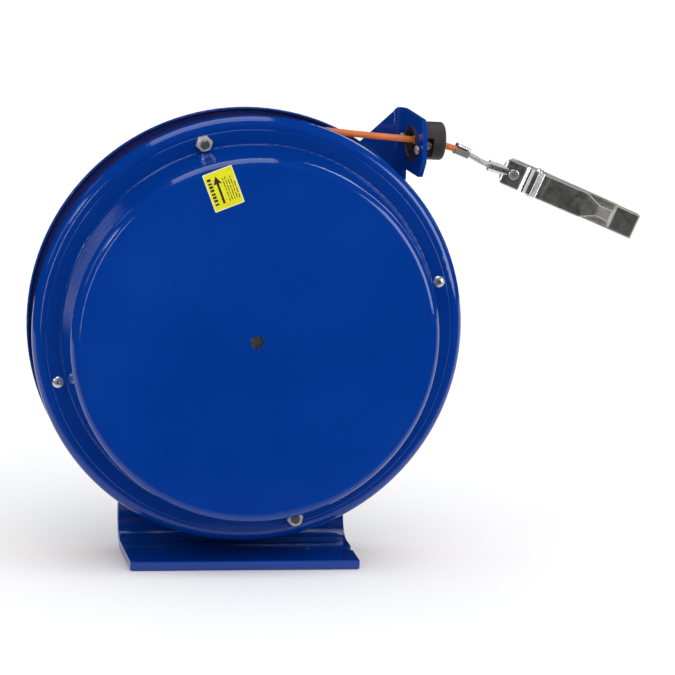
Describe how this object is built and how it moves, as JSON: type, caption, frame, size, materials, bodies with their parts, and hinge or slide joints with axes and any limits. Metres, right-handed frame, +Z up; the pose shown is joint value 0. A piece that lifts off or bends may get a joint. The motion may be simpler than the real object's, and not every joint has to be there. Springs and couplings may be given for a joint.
{
  "type": "spring rewind grounding cable reel",
  "caption": "Spring-rewind grounding cable reel: blue steel spool on a bent stand, orange coated cable through a side guide, cable stop and alligator clip.",
  "frame": {"origin": "underside of the foot, on the line through the mounting hole and the mounting slot, straight below the reel axis", "axes": "+Z up from the foot; +Y to the back, along the reel axis towards the post; +X to the cable outlet side"},
  "size_m": [0.4275, 0.1209, 0.3111],
  "materials": {
    "blue_paint": "gloss",
    "plated_steel": "zinc plated",
    "bright_zinc": "bright plated",
    "spring_steel": "oiled strip",
    "bronze": "sintered",
    "copper_leaf": "spring bronze",
    "orange_coating": "semi gloss",
    "black_rubber": "matt",
    "black_nylon": "satin",
    "bare_wire": "galvanised strand",
    "clip_steel": "aged plate",
    "yellow_label": "printed film"
  },
  "bodies": {
    "stand": {"stand_bracket": "blue_paint", "guide_arm": "blue_paint", "axle": "plated_steel", "axle_washer": "plated_steel", "axle_nut": "plated_steel", "spring_arbor": "plated_steel", "arbor_retaining_ring": "spring_steel", "pawl_pin": "plated_steel", "pawl_spring": "spring_steel", "contact_leaf": "copper_leaf", "contact_screw": "bright_zinc", "arm_bolts": "plated_steel", "arm_nuts": "plated_steel", "guide_bushing": "black_nylon", "bushing_screws": "bright_zinc", "cable_free": "orange_coating", "cable_stop": "black_rubber", "stop_screw": "bright_zinc", "crimp_ferrule": "bright_zinc", "bare_strand": "bare_wire", "clip_body": "clip_steel", "clip_pin": "bright_zinc", "clip_spring": "bright_zinc", "clip_screw": "bright_zinc"},
    "spool": {"front_disc": "blue_paint", "rear_disc": "blue_paint", "drum": "blue_paint", "hub": "plated_steel", "front_bush": "bronze", "rear_bush": "bronze", "hub_rivets": "plated_steel", "spring_can": "blue_paint", "can_studs": "plated_steel", "can_lock_nuts": "blue_paint", "can_rivets": "plated_steel", "main_spring": "spring_steel", "spring_anchor_post": "plated_steel", "wound_cable": "orange_coating", "cable_anchor": "plated_steel", "ratchet_ring": "plated_steel", "ratchet_rivets": "plated_steel", "label": "yellow_label"},
    "pawl": {"pawl": "plated_steel"},
    "clip_jaw": {"clip_jaw": "clip_steel"}
  },
  "joints": [
    {"name": "spool_turn", "type": "hinge", "parent": "stand", "child": "spool", "pos_m": [0, 0, 0.1633], "axis": [0, 1, 0], "continuous": true},
    {"name": "pawl_swing", "type": "hinge", "parent": "stand", "child": "pawl", "pos_m": [-0.05079, 0.0331, 0.12774], "axis": [0, 1, 0], "range_deg": [-6, 12], "stiffness_Nm_per_rad": 0.02, "springref_deg": 12.03},
    {"name": "clip_open", "type": "hinge", "parent": "stand", "child": "clip_jaw", "pos_m": [0.20485, 0.0332, 0.25781], "axis": [0.3891, 0, 0.9212], "range_deg": [0, 20], "stiffness_Nm_per_rad": 0.6, "springref_deg": -20.05}
  ]
}
